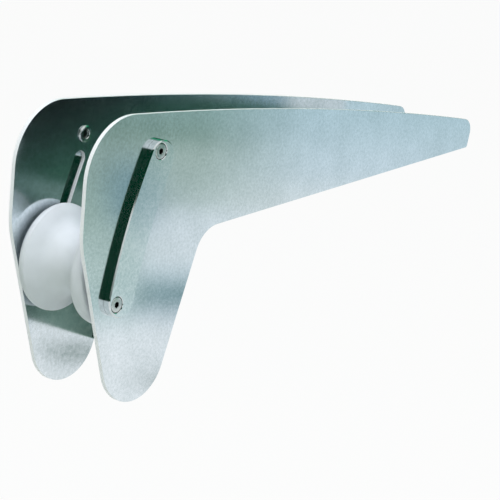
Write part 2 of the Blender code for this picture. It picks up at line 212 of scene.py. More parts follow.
def linear(code):
    """Colour from its sRGB hex code, as light."""
    parts = [int(code[i:i + 2], 16) / 255 for i in (0, 2, 4)]
    light = [c / 12.92 if c <= 0.04045 else ((c + 0.055) / 1.055) ** 2.4 for c in parts]
    return (*light, 1.0)


def add_node(tree, kind, values=None, links=None, **settings):
    """Add a node with its settings, the values on its sockets and the links into them."""
    node = tree.nodes.new(kind)
    for name, value in settings.items():
        setattr(node, name, value)
    for name, value in (values or {}).items():
        node.inputs[name].default_value = value
    for name, source in (links or {}).items():
        tree.links.new(source, node.inputs[name])
    return node


def new_material(name):
    """Material with a plain Principled surface. Gives its node tree and that shader."""
    material = bpy.data.materials.new(name)
    material.use_nodes = True
    tree = material.node_tree
    return material, tree, tree.nodes["Principled BSDF"]


def set_ramp(ramp, *stops):
    """Set a colour ramp from (place, colour) stops."""
    elements = ramp.color_ramp.elements
    while len(elements) < len(stops):
        elements.new(0.5)
    for element, (place, colour) in zip(elements, stops):
        element.position = place
        element.color = colour


def show(tree, shading):
    """Make a shading the surface of its material."""
    tree.links.new(shading, tree.nodes["Material Output"].inputs["Surface"])


def dress(piece, body, slot, material, *nodes):
    """Give a finished piece its material and its body, and hide the solids it stands for. The slot
    is not used.
    """
    deselect()
    piece.data.materials.clear()
    piece.data.materials.append(material)
    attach(piece, body)
    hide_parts(*nodes)


def satin_sheet_steel():
    """Satin polished stainless sheet: pale metal with a faint blue cast. Its polish leaves a
    mottled grain of about 2 mm, coarsened from the real 0.2 mm so that it shows."""
    material, tree, shader = new_material("satin polished stainless sheet")
    place = add_node(tree, "ShaderNodeTexCoord").outputs["Object"]
    grain = add_node(tree, "ShaderNodeTexNoise", {"Scale": 480.0, "Detail": 4.0, "Roughness": 0.6},
                     {"Vector": place})
    cloud = add_node(tree, "ShaderNodeTexNoise", {"Scale": 30.0, "Detail": 3.0, "Roughness": 0.55},
                     {"Vector": place})
    mottle = add_node(tree, "ShaderNodeMath", {1: 0.6}, {0: grain.outputs["Fac"]},
                      operation="MULTIPLY")
    both = add_node(tree, "ShaderNodeMath", {1: 0.4}, {0: cloud.outputs["Fac"],
                                                       2: mottle.outputs["Value"]},
                    operation="MULTIPLY_ADD")
    tone = add_node(tree, "ShaderNodeValToRGB", links={"Fac": both.outputs["Value"]})
    set_ramp(tone, (0.36, linear("CDD7DA")), (0.64, linear("E8EFF4")))
    tree.links.new(tone.outputs["Color"], shader.inputs["Base Color"])
    shader.inputs["Metallic"].default_value = 1.0
    rough = add_node(tree, "ShaderNodeMapRange", {"To Min": 0.10, "To Max": 0.16},
                     {"Value": both.outputs["Value"]})
    tree.links.new(rough.outputs["Result"], shader.inputs["Roughness"])
    bump = add_node(tree, "ShaderNodeBump", {"Strength": 0.3, "Distance": 0.00003},
                    {"Height": grain.outputs["Fac"]})
    tree.links.new(bump.outputs["Normal"], shader.inputs["Normal"])
    return material


def ground_edge_painted_highlight():
    """Cut edge of the sheet, ground with a coarse belt. Its near-white, partly metallic colour is
    partly the grinding and partly a painted highlight. The scratches are about 1 mm, coarsened
    from the real 0.1 mm."""
    material, tree, shader = new_material("belt ground stainless edge with painted highlight")
    place = add_node(tree, "ShaderNodeTexCoord").outputs["Object"]
    streak = add_node(tree, "ShaderNodeTexNoise", {"Scale": 900.0, "Detail": 2.0},
                      {"Vector": place})
    tone = add_node(tree, "ShaderNodeValToRGB", links={"Fac": streak.outputs["Fac"]})
    # Near-white base colour with low metallic: partly the grinding, partly a painted highlight.
    set_ramp(tone, (0.30, linear("F2F4F6")), (0.70, linear("FCFDFE")))
    tree.links.new(tone.outputs["Color"], shader.inputs["Base Color"])
    shader.inputs["Metallic"].default_value = 0.3
    rough = add_node(tree, "ShaderNodeMapRange", {"To Min": 0.44, "To Max": 0.56},
                     {"Value": streak.outputs["Fac"]})
    tree.links.new(rough.outputs["Result"], shader.inputs["Roughness"])
    return material


def draw_cheek(name, side):
    """One cheek, drawn at its inner face and pulled outwards to the sheet's thickness."""
    shift = side * CHANNEL / 2 * ACROSS
    tail_low, tail_top, nose, brow, toe, crook = (
        corner + shift for corner in (TAIL_LOW, TAIL_TOP, NOSE, BROW, TOE, CROOK))
    chord = nose - tail_top
    half = chord.length / 2
    top_r = (half * half + TOP_BOW * TOP_BOW) / (2 * TOP_BOW)
    swing = math.asin(half / top_r)
    along = chord.normalized()
    up = ACROSS.cross(along)
    centre = (tail_top + nose) / 2 + up * (TOP_BOW - top_r)

    def on_top(share):
        angle = swing * share
        return centre + up * top_r * math.cos(angle) + along * top_r * math.sin(angle)

    first = -0.94
    last = 0.80
    piece, now = start_line(name, (crook + tail_low) / 2)
    now = round_corner(now, crook, tail_low, tail_top, TAIL_LOW_R, math.radians(10))
    now = round_corner(now, tail_low, tail_top, on_top(-last), TAIL_TOP_R)
    now = line_to(now, on_top(first))
    now = arc_about(now, centre, -ACROSS, swing * (last - first), math.radians(0.35))
    now = round_corner(now, on_top(last), nose, brow, NOSE_R)
    now = round_corner(now, nose, brow, toe, BROW_R)
    now = round_corner(now, brow, toe, crook, TOE_R)
    now = round_corner(now, toe, crook, tail_low, CROOK_R)
    line_to(now, (crook + tail_low) / 2)
    fill_outline(side * SHEET * ACROSS)
    return piece


def face_edges_apart(piece, edge_painted_highlight_material, flat_share=0.9):
    """Give the faces that don't lie flat on the sheet the edge's pale, partly painted highlight."""
    piece.data.materials.append(edge_painted_highlight_material)
    for face in piece.data.polygons:
        if abs(face.normal.y) < flat_share:
            face.material_index = 1


sheet_steel = satin_sheet_steel()
edge_painted_highlight = ground_edge_painted_highlight()
for side_name, side in SIDES.items():
    cheek = draw_cheek(side_name + "_cheek_plate", side)
    middle = side * (CHANNEL + SHEET) / 2
    slot = along_track("slot", LOW_STOP, HIGH_STOP, SLOT_HALF, middle - SHEET, middle + SHEET)
    holes = [round_bar("nut_hole", on_track(angle, SCREW_FORWARD, middle), NUT_HOLE_R,
                       3 * SHEET, ACROSS) for angle in (LOW_SCREW, HIGH_SCREW)]
    drill(cheek, slot, *holes)
    round_edges(cheek, SHEET_EDGE)
    dress(cheek, "frame", "sheet_steel", sheet_steel, side_name + "_cheek")
    # The edge faces get the near-white edge material, which is partly a painted highlight.
    face_edges_apart(cheek, edge_painted_highlight)


# The floor is a strip of the same sheet between the cheeks, bent once so that its front hangs
# down behind the legs. Four drilled holes take the deck bolts, and its edges are deburred.
FLOOR_THICK = 0.003
FLOOR_TAIL = 0.1588
FLOOR_CORNER = 0.0008
APRON_DROP = 0.094
FLOOR_HALF = 0.0297
BOLT_R = 0.00425
BOLT_X = 0.090
BOLT_Y = 0.016


def draw_floor():
    """The floor's side section, drawn at its port edge and pulled across the channel."""
    shift = -FLOOR_HALF * ACROSS
    down = (TOE - CROOK).normalized()
    inward = ACROSS.cross(down)
    slip = FLOOR_THICK * (1 - inward.z) / down.z
    tail = Vector((FLOOR_TAIL, 0.0, 0.0)) + shift
    tail_top = tail + Vector((0.0, 0.0, FLOOR_THICK))
    crook = CROOK + shift
    crook_top = crook + inward * FLOOR_THICK + down * slip
    apron = crook + down * APRON_DROP
    apron_top = apron + inward * FLOOR_THICK
    start = (crook + tail) / 2
    piece, now = start_line("bent_floor_plate", start)
    now = round_corner(now, crook, tail, tail_top, FLOOR_CORNER, math.radians(18))
    now = round_corner(now, tail, tail_top, crook_top, FLOOR_CORNER, math.radians(18))
    now = round_corner(now, tail_top, crook_top, apron_top, CROOK_R + FLOOR_THICK)
    now = round_corner(now, crook_top, apron_top, apron, FLOOR_CORNER, math.radians(18))
    now = round_corner(now, apron_top, apron, crook, FLOOR_CORNER, math.radians(18))
    now = round_corner(now, apron, crook, tail, CROOK_R)
    line_to(now, start)
    fill_outline(2 * FLOOR_HALF * ACROSS)
    return piece


def mill_finish_steel():
    """Floor sheet as it comes from the mill: dull, faintly green and darker than the cheeks."""
    material, tree, shader = new_material("mill finish stainless sheet")
    place = add_node(tree, "ShaderNodeTexCoord").outputs["Object"]
    cloud = add_node(tree, "ShaderNodeTexNoise", {"Scale": 200.0, "Detail": 4.0}, {"Vector": place})
    tone = add_node(tree, "ShaderNodeValToRGB", links={"Fac": cloud.outputs["Fac"]})
    set_ramp(tone, (0.34, linear("8AA697")), (0.66, linear("A2B9AB")))
    tree.links.new(tone.outputs["Color"], shader.inputs["Base Color"])
    shader.inputs["Metallic"].default_value = 1.0
    shader.inputs["Roughness"].default_value = 0.36
    return material


floor = draw_floor()
drill(floor, *(round_bar("bolt_hole", (x, y, FLOOR_THICK / 2), BOLT_R, 4 * FLOOR_THICK,
                         Vector((0.0, 0.0, 1.0)))
               for x in (-BOLT_X, BOLT_X) for y in (-BOLT_Y, BOLT_Y)))
round_edges(floor, 0.0003, 2)
dress(floor, "frame", "sheet_steel", mill_finish_steel(), "floor_plate")


# A fillet weld runs along each side of the floor and ties it to the cheek. It was laid by hand
# with filler rod, which leaves a ripple at each dab, and only brushed afterwards.
WELD_START = -0.1326
WELD_END = 0.1468
WELD_LEG = 0.0029
WELD_RIPPLE = 0.0022
WELD_DIP = 0.86
WELD_TIP = 0.75
WELD_CROWN = 0.6


def weld_metal():
    """Brushed weld bead: duller than the sheet, with a straw and blue heat tint in patches."""
    material, tree, shader = new_material("brushed fillet weld")
    place = add_node(tree, "ShaderNodeTexCoord").outputs["Object"]
    tint = add_node(tree, "ShaderNodeTexNoise", {"Scale": 60.0, "Detail": 2.0}, {"Vector": place})
    tone = add_node(tree, "ShaderNodeValToRGB", links={"Fac": tint.outputs["Fac"]})
    set_ramp(tone, (0.30, linear("A9B2B8")), (0.52, linear("BCC2C0")), (0.70, linear("C0B89F")))
    tree.links.new(tone.outputs["Color"], shader.inputs["Base Color"])
    shader.inputs["Metallic"].default_value = 1.0
    shader.inputs["Roughness"].default_value = 0.36
    scratch = add_node(tree, "ShaderNodeTexNoise", {"Scale": 1500.0, "Detail": 3.0},
                       {"Vector": place})
    bump = add_node(tree, "ShaderNodeBump", {"Strength": 0.35, "Distance": 0.00005},
                    {"Height": scratch.outputs["Fac"]})
    tree.links.new(bump.outputs["Normal"], shader.inputs["Normal"])
    return material


def draw_weld(name, side):
    """One bead: its crowned section is pulled along the corner, ring by ring."""
    corner = Vector((WELD_START, side * (CHANNEL / 2 - 0.0001), FLOOR_THICK + 0.0001))
    foot = corner - side * WELD_LEG * ACROSS
    top = corner + Vector((0.0, 0.0, WELD_LEG))
    piece, now = start_line(name, corner)
    now = line_to(now, foot)
    centre = corner + (corner - (foot + top) / 2) * WELD_CROWN
    now = arc_about(now, centre, Vector((side, 0.0, 0.0)), (foot - centre).angle(top - centre),
                    math.radians(8))
    line_to(now, corner)
    bpy.ops.mesh.select_all(action="SELECT")
    bpy.ops.mesh.remove_doubles(threshold=SAME_POINT)
    bpy.ops.mesh.edge_face_add()
    rings = round((WELD_END - WELD_START) / WELD_RIPPLE)
    sizes = [WELD_TIP, *([1.0, WELD_DIP] * rings), WELD_TIP]
    steps = [WELD_RIPPLE * share for share in [0.3, *([0.62, 0.38] * rings), 0.3]]
    size = 1.0
    for ring, step in zip(sizes, steps):
        bpy.ops.mesh.extrude_region_move(TRANSFORM_OT_translate={"value": (step, 0.0, 0.0)})
        share = ring / size
        bpy.ops.transform.resize(value=(1.0, share, share), center_override=corner)
        size = ring
    bpy.ops.mesh.select_all(action="SELECT")
    bpy.ops.mesh.normals_make_consistent(inside=False)
    deselect()
    piece.select_set(True)
    bpy.ops.object.shade_smooth_by_angle(angle=math.radians(60))
    return piece


weld_steel = weld_metal()
for side_name, side in SIDES.items():
    dress(draw_weld(side_name + "_weld_bead", side), "frame", "weld_steel", weld_steel,
          side_name + "_weld")


# Each guide is a curved piece of 25 x 5 mm stainless bar, milled to shape, with polished sides,
# a brushed face and a flat chamfer round it. It is screwed over the slot outside the cheek, and
# a groove in its back carries the axle's end.
GUIDE_INNER = CHANNEL / 2 + SHEET + 0.0001
GUIDE_OUTER = 0.0383
GUIDE_HALF_WIDTH = 0.0125
GUIDE_HALF_RUN = 0.0485
GUIDE_CHAMFER = 0.0008
GROOVE_FLOOR = 0.0363
SCREW_HEAD_R = 0.00525
SINK_R = 0.0056
SINK_LIP = 0.0004
SCREW_R = 0.003
SHANK_HOLE_R = SCREW_R + 0.0003
ON_FACE = 0.00001


def turned(name, place, side, profile, facets=72):
    """Turned piece across the channel: its (radius, outward distance) profile spun round."""
    points = [place + Vector((0.0, side * out, radius)) for radius, out in profile]
    piece, now = start_line(name, points[0])
    for point in points[1:]:
        now = line_to(now, point)
    bpy.ops.mesh.select_all(action="SELECT")
    bpy.ops.mesh.spin(steps=facets, angle=2 * math.pi, center=place, axis=ACROSS)
    bpy.ops.mesh.select_all(action="SELECT")
    bpy.ops.mesh.remove_doubles(threshold=SAME_POINT)
    bpy.ops.mesh.normals_make_consistent(inside=False)
    deselect()
    piece.select_set(True)
    bpy.ops.object.shade_smooth_by_angle(angle=math.radians(30))
    return piece


def quarter(radius, centre_r, centre_out, first, last, spans=8):
    """Points of a round in a turned profile, from one angle to another, 0 being outward."""
    turns = [math.radians(first + (last - first) * i / spans) for i in range(spans + 1)]
    return [(centre_r + radius * math.sin(t), centre_out + radius * math.cos(t)) for t in turns]


def polished_bar_steel():
    """Mirror polished bar: hardly any grain, so that it shows dark and bright surroundings."""
    material, tree, shader = new_material("mirror polished stainless bar")
    place = add_node(tree, "ShaderNodeTexCoord").outputs["Object"]
    cloud = add_node(tree, "ShaderNodeTexNoise", {"Scale": 260.0, "Detail": 4.0, "Roughness": 0.6},
                     {"Vector": place})
    tone = add_node(tree, "ShaderNodeValToRGB", links={"Fac": cloud.outputs["Fac"]})
    set_ramp(tone, (0.34, linear("C0CACA")), (0.66, linear("D2DADC")))
    tree.links.new(tone.outputs["Color"], shader.inputs["Base Color"])
    shader.inputs["Metallic"].default_value = 1.0
    rough = add_node(tree, "ShaderNodeMapRange", {"To Min": 0.07, "To Max": 0.14},
                     {"Value": cloud.outputs["Fac"]})
    tree.links.new(rough.outputs["Result"], shader.inputs["Roughness"])
    return material


def brushed_bar_face():
    """Outer face of the bar, brushed before the sides were polished: it blurs what it shows."""
    material, tree, shader = new_material("brushed stainless bar face")
    place = add_node(tree, "ShaderNodeTexCoord").outputs["Object"]
    cloud = add_node(tree, "ShaderNodeTexNoise", {"Scale": 480.0, "Detail": 4.0, "Roughness": 0.6},
                     {"Vector": place})
    tone = add_node(tree, "ShaderNodeValToRGB", links={"Fac": cloud.outputs["Fac"]})
    set_ramp(tone, (0.36, linear("D8E4E8")), (0.64, linear("EEF4F8")))
    tree.links.new(tone.outputs["Color"], shader.inputs["Base Color"])
    shader.inputs["Metallic"].default_value = 1.0
    shader.inputs["Roughness"].default_value = 0.18
    return material


def drilled_recess_painted_shade():
    """Inside of sockets, sinks and bores: cut, unpolished, and coloured dark as painted shade."""
    material, tree, shader = new_material("drilled stainless with painted recess shade")
    place = add_node(tree, "ShaderNodeTexCoord").outputs["Object"]
    cloud = add_node(tree, "ShaderNodeTexNoise", {"Scale": 900.0, "Detail": 2.0}, {"Vector": place})
    tone = add_node(tree, "ShaderNodeValToRGB", links={"Fac": cloud.outputs["Fac"]})
    # Very dark base colour: painted shade of the sockets, sinks and bores.
    set_ramp(tone, (0.30, linear("1B2623")), (0.70, linear("33413C")))
    tree.links.new(tone.outputs["Color"], shader.inputs["Base Color"])
    shader.inputs["Metallic"].default_value = 1.0
    shader.inputs["Roughness"].default_value = 0.42
    return material


def chamfer_face(piece, outer, width):
    """Cut a flat chamfer round the face that lies at a distance across."""
    pick(piece)
    bpy.ops.object.mode_set(mode="EDIT")
    bpy.ops.mesh.select_mode(type="FACE")
    bpy.ops.mesh.select_all(action="DESELECT")
    bpy.ops.object.mode_set(mode="OBJECT")
    for face in piece.data.polygons:
        face.select = abs(face.center.y - outer) < ON_FACE
    bpy.ops.object.mode_set(mode="EDIT")
    bpy.ops.mesh.region_to_loop()
    bpy.ops.mesh.bevel(offset=width, segments=1)
    bpy.ops.object.mode_set(mode="OBJECT")


def from_axis(face, place):
    """Distance of a face from the line through a place across the channel."""
    return math.hypot(face.center.x - place.x, face.center.z - place.z)


bar_steel = polished_bar_steel()
bar_face = brushed_bar_face()
recess_painted_shade = drilled_recess_painted_shade()
GUIDE_LOW = TRACK_LEAN + (SCREW_DROP + GUIDE_HALF_RUN) / TRACK_R
GUIDE_HIGH = TRACK_LEAN + (SCREW_DROP - GUIDE_HALF_RUN) / TRACK_R
for side_name, side in SIDES.items():
    guide = along_track(side_name + "_guide_bar", GUIDE_LOW, GUIDE_HIGH, GUIDE_HALF_WIDTH,
                        side * GUIDE_INNER, side * GUIDE_OUTER)
    chamfer_face(guide, side * GUIDE_OUTER, GUIDE_CHAMFER)
    groove = along_track("groove", LOW_STOP, HIGH_STOP, SLOT_HALF,
                         side * (GUIDE_INNER - 0.001), side * GROOVE_FLOOR)
    sinks = [turned("sink", on_track(angle, SCREW_FORWARD, side * GUIDE_OUTER), side,
                    [(0.0, 0.001), (SINK_R + 0.0015, 0.001), (SINK_R, -SINK_LIP),
                     (SHANK_HOLE_R, SHANK_HOLE_R - SINK_R - SINK_LIP),
                     (SHANK_HOLE_R, -0.010), (0.0, -0.010)])
             for angle in (LOW_SCREW, HIGH_SCREW)]
    drill(guide, groove, *sinks)
    settle_shading(guide)
    dress(guide, "frame", "bar_steel", bar_face, side_name + "_guide")
    guide.data.materials.append(bar_steel)
    guide.data.materials.append(recess_painted_shade)
    # Faces in the sinks and screw holes get the dark material, a painted shade of the recess.
    for face in guide.data.polygons:
        drilled = min(from_axis(face, on_track(angle, SCREW_FORWARD))
                      for angle in (LOW_SCREW, HIGH_SCREW)) < SINK_R
        if abs(face.center.y) < GUIDE_OUTER - ON_FACE:
            face.material_index = 2 if drilled else 1


# A low domed nut sits in a hole of the cheek at each end of the track, its head inside the
# channel. It is turned stainless, with a countersunk thread that shows as a dark eye.
NUT_R = 0.006
NUT_RISE = 0.0016
NUT_RIM = 0.0004
NUT_FACE_R = 0.0040
NUT_BARREL_R = 0.0043
NUT_BORE_R = 0.0031
NUT_SEAT = CHANNEL / 2 - 0.0002


def turned_steel():
    """Bright turned stainless of screws, nuts and axle: clean, with a slight clouding."""
    material, tree, shader = new_material("bright turned stainless")
    place = add_node(tree, "ShaderNodeTexCoord").outputs["Object"]
    cloud = add_node(tree, "ShaderNodeTexNoise", {"Scale": 700.0, "Detail": 3.0}, {"Vector": place})
    tone = add_node(tree, "ShaderNodeValToRGB", links={"Fac": cloud.outputs["Fac"]})
    set_ramp(tone, (0.30, linear("B4BCBA")), (0.70, linear("D0D6D5")))
    tree.links.new(tone.outputs["Color"], shader.inputs["Base Color"])
    shader.inputs["Metallic"].default_value = 1.0
    rough = add_node(tree, "ShaderNodeMapRange", {"To Min": 0.14, "To Max": 0.26},
                     {"Value": cloud.outputs["Fac"]})
    tree.links.new(rough.outputs["Result"], shader.inputs["Roughness"])
    return material


fixing_steel = turned_steel()
for side_name, side in SIDES.items():
    for level, angle in (("low", LOW_SCREW), ("high", HIGH_SCREW)):
        dome = [(NUT_FACE_R + (NUT_R - NUT_FACE_R) * math.cos(t),
                 -NUT_RIM - (NUT_RISE - NUT_RIM) * math.sin(t))
                for t in (math.pi / 2 * i / 8 for i in range(9))]
        profile = [(NUT_BORE_R, SHEET), (NUT_BARREL_R, SHEET), (NUT_BARREL_R, 0.0), (NUT_R, 0.0),
                   *dome, (NUT_BORE_R + 0.0004, -NUT_RISE), (NUT_BORE_R, -NUT_RISE + 0.0004),
                   (NUT_BORE_R, SHEET)]
        nut = turned(f"{side_name}_{level}_domed_nut",
                     on_track(angle, SCREW_FORWARD, side * NUT_SEAT), side, profile, 56)
        dress(nut, "frame", "fixing_steel", fixing_steel, f"{side_name}_{level}_nut")


# Countersunk socket screws, M6, hold the guides. The heads are bright turned stainless and sit
# just under the face of the bar, each with a 4 mm hexagon socket broached into it.
SCREW_SINK = 0.0003
SCREW_END = 0.0300
SOCKET_R = 0.0023
SOCKET_DEPTH = 0.0026

for side_name, side in SIDES.items():
    for level, angle in (("low", LOW_SCREW), ("high", HIGH_SCREW)):
        top = GUIDE_OUTER - SCREW_SINK
        shank = SCREW_END - top
        place = on_track(angle, SCREW_FORWARD, side * top)
        profile = [(0.0, 0.0), (SCREW_HEAD_R - 0.0004, 0.0),
                   *quarter(0.0004, SCREW_HEAD_R - 0.0004, -0.0004, 0, 110, 5),
                   (SCREW_R, -0.0007 - SCREW_HEAD_R + SCREW_R), (SCREW_R, shank + 0.0008),
                   (SCREW_R - 0.0008, shank), (0.0, shank)]
        screw = turned(f"{side_name}_{level}_socket_screw", place, side, profile, 56)
        socket = round_bar("socket", place, SOCKET_R, 2 * SOCKET_DEPTH, ACROSS, 6)
        drill(screw, socket)
        round_edges(screw, 0.00012, 2, 40)
        dress(screw, "frame", "fixing_steel", fixing_steel, f"{side_name}_{level}_screw")
        screw.data.materials.append(recess_painted_shade)
        # Faces down in the hex socket get the dark material, a painted shade of the recess.
        for face in screw.data.polygons:
            below = top - abs(face.center.y)
            in_socket = from_axis(face, place) < SOCKET_R and 0.0003 < below
            face.material_index = 1 if in_socket else 0


# The axle is a plain 10 mm stainless bar whose ends run in the grooves of the guides. A turned
# acetal washer on each side keeps the roller off the cheeks.
AXLE = on_track(LOW_STOP)
AXLE_R = 0.005
AXLE_HALF = GROOVE_FLOOR - 0.0004
WASHER_R = 0.0105
WASHER_THICK = 0.0016
WASHER_BORE_R = 0.0052
WASHER_OUTER = CHANNEL / 2 - 0.0003

axle = turned("axle_bar", AXLE, 1.0,
              [(0.0, AXLE_HALF - 0.0012), (0.0012, AXLE_HALF), (AXLE_R - 0.001, AXLE_HALF),
               (AXLE_R, AXLE_HALF - 0.001), (AXLE_R, 0.001 - AXLE_HALF),
               (AXLE_R - 0.001, -AXLE_HALF), (0.0012, -AXLE_HALF), (0.0, 0.0012 - AXLE_HALF)])
dress(axle, "axle_carriage", "fixing_steel", fixing_steel, "axle")


def turned_acetal():
    """Natural acetal, turned from bar: cream white, matt and hardly mottled."""
    material, tree, shader = new_material("turned natural acetal")
    place = add_node(tree, "ShaderNodeTexCoord").outputs["Object"]
    cloud = add_node(tree, "ShaderNodeTexNoise", {"Scale": 250.0, "Detail": 2.0}, {"Vector": place})
    tone = add_node(tree, "ShaderNodeValToRGB", links={"Fac": cloud.outputs["Fac"]})
    set_ramp(tone, (0.30, linear("D9D8CF")), (0.70, linear("E3E2DA")))
    tree.links.new(tone.outputs["Color"], shader.inputs["Base Color"])
    shader.inputs["Roughness"].default_value = 0.45
    shader.inputs["IOR"].default_value = 1.48
    return material


acetal = turned_acetal()
for side_name, side in SIDES.items():
    washer = turned(side_name + "_thrust_washer", AXLE + side * WASHER_OUTER * ACROSS, side,
                    [(WASHER_BORE_R, 0.0), *quarter(0.0004, WASHER_R - 0.0004, -0.0004, 0, 90, 4),
                     *quarter(0.0004, WASHER_R - 0.0004, 0.0004 - WASHER_THICK, 90, 180, 4),
                     (WASHER_BORE_R, -WASHER_THICK), (WASHER_BORE_R, 0.0)])
    dress(washer, "axle_carriage", "acetal", acetal, side_name + "_washer")


# The roller is white nylon, turned from bar to a spool with round rims and one deep waist that
# the chain runs in. Two acetal bushes are pressed into its bore and turn on the axle.
ROLLER_HALF = WASHER_OUTER - WASHER_THICK - 0.0003
ROLLER_R = 0.037
RIM_R = 0.0052
WAIST_R = 0.021
BORE_R = 0.0081
BUSH_LENGTH = 0.020
BUSH_WALL_R = 0.0080


def turned_nylon():
    """White nylon, turned: soft gloss and faint tool rings. The rings are 2.4 mm apart,
    coarsened from the real 0.3 mm feed so that they show."""
    material, tree, shader = new_material("turned white nylon")
    place = add_node(tree, "ShaderNodeTexCoord").outputs["Object"]
    cloud = add_node(tree, "ShaderNodeTexNoise", {"Scale": 45.0, "Detail": 3.0}, {"Vector": place})
    tone = add_node(tree, "ShaderNodeValToRGB", links={"Fac": cloud.outputs["Fac"]})
    set_ramp(tone, (0.30, linear("D8DBDF")), (0.70, linear("E4E7EC")))
    tree.links.new(tone.outputs["Color"], shader.inputs["Base Color"])
    shader.inputs["Roughness"].default_value = 0.42
    shader.inputs["IOR"].default_value = 1.53
    feed = add_node(tree, "ShaderNodeTexWave", {"Scale": 130.0, "Distortion": 0.4, "Detail": 2.0},
                    {"Vector": place}, wave_type="BANDS", bands_direction="Y")
    bump = add_node(tree, "ShaderNodeBump", {"Strength": 0.12, "Distance": 0.0001},
                    {"Height": feed.outputs["Fac"]})
    tree.links.new(bump.outputs["Normal"], shader.inputs["Normal"])
    return material


def roller_side():
    """Profile of the roller from one end face over its rim into the waist and back out."""
    rim_out = ROLLER_HALF - RIM_R
    rim_r = ROLLER_R - RIM_R
    step_in = WAIST_R - rim_r
    waist_arc = (step_in ** 2 + rim_out ** 2 - RIM_R ** 2) / (2 * (RIM_R - step_in))
    swing = math.degrees(math.asin(rim_out / (waist_arc + RIM_R)))
    rim = quarter(RIM_R, rim_r, rim_out, 0, 180 - swing, 24)
    waist = [(WAIST_R + waist_arc - waist_arc * math.cos(t), waist_arc * math.sin(t))
             for t in (math.radians(swing - 2 * swing * i / 32) for i in range(1, 32))]
    other_rim = [(radius, -out) for radius, out in reversed(rim)]
    return [*rim, *waist, *other_rim]


nylon = turned_nylon()
roller = turned("spool_roller", AXLE, 1.0,
                [(BORE_R, ROLLER_HALF - 0.0006), (BORE_R + 0.0006, ROLLER_HALF), *roller_side(),
                 (BORE_R + 0.0006, -ROLLER_HALF), (BORE_R, 0.0006 - ROLLER_HALF),
                 (BORE_R, ROLLER_HALF - 0.0006)], 128)
dress(roller, "roller_body", "nylon", nylon, "roller")
for side_name, side in SIDES.items():
    bush = turned(side_name + "_pressed_bush", AXLE + side * ROLLER_HALF * ACROSS, side,
                  [(WASHER_BORE_R, -0.0003), (BUSH_WALL_R - 0.0003, -0.0003),
                   (BUSH_WALL_R, -0.0006), (BUSH_WALL_R, 0.0003 - BUSH_LENGTH),
                   (BUSH_WALL_R - 0.0003, -BUSH_LENGTH), (WASHER_BORE_R, -BUSH_LENGTH),
                   (WASHER_BORE_R, -0.0003)])
    dress(bush, "roller_body", "acetal", acetal, side_name + "_bush")


# The photographer's table and backdrop are white paper. The part stands clear above them, so
# that its shadow is soft, and a large lamp hangs over it with a weaker one beside the camera.
# Cards that only the polished faces show stand in for the dark and bright parts of the room.
PAPER_BELOW = -0.42
PAPER_SIZE = 8.0
PAPER_GLOW = 0.95
deselect()
bpy.ops.mesh.primitive_plane_add(size=PAPER_SIZE, location=(0.0, 0.0, PAPER_BELOW))
paper = bpy.context.object
paper.name = "white_paper_floor"
paper_white, paper_tree, paper_shader = new_material("white paper")
paper_shader.inputs["Base Color"].default_value = linear("E4EAE6")
paper_shader.inputs["Roughness"].default_value = 0.9
glow = add_node(paper_tree, "ShaderNodeEmission", {"Color": linear("FFFFFF"), "Strength": 1.0})
paper_seen = add_node(paper_tree, "ShaderNodeLightPath")
paper_direct = add_node(paper_tree, "ShaderNodeMath", operation="MAXIMUM",
                        links={0: paper_seen.outputs["Is Camera Ray"],
                               1: paper_seen.outputs["Is Glossy Ray"]})
paper_share = add_node(paper_tree, "ShaderNodeMath", {1: PAPER_GLOW}, operation="MULTIPLY",
                       links={0: paper_direct.outputs["Value"]})
paper_mix = add_node(paper_tree, "ShaderNodeMixShader",
                     links={0: paper_share.outputs["Value"], 1: paper_shader.outputs["BSDF"],
                            2: glow.outputs["Emission"]})
show(paper_tree, paper_mix.outputs["Shader"])
paper.data.materials.append(paper_white)


def add_lamp(name, place, aim, size, power):
    """Square soft lamp at a place, turned towards a point."""
    deselect()
    bpy.ops.object.light_add(type="AREA", location=place)
    lamp = bpy.context.object
    lamp.name = name
    lamp.data.shape = "SQUARE"
    lamp.data.size = size
    lamp.data.energy = power
    lamp.rotation_euler = (Vector(aim) - Vector(place)).to_track_quat("-Z", "Y").to_euler()
    return lamp


def add_card(name, centre, facing, width, height, material):
    """Card beside the part that only its polished faces show, as a studio's flags do."""
    deselect()
    bpy.ops.mesh.primitive_plane_add(size=1.0, location=centre)
    card = bpy.context.object
    card.name = name
    card.scale = (width, height, 1.0)
    card.rotation_euler = Vector(facing).to_track_quat("Z", "Y").to_euler()
    card.data.materials.append(material)
    for kind in ("camera", "diffuse", "shadow", "transmission", "volume_scatter"):
        setattr(card, "visible_" + kind, False)


def plain_card(name, colour):
    """Card of one even colour."""
    material, tree, _ = new_material(name)
    plain = add_node(tree, "ShaderNodeEmission", {"Color": colour, "Strength": 1.0})
    show(tree, plain.outputs["Emission"])
    return material


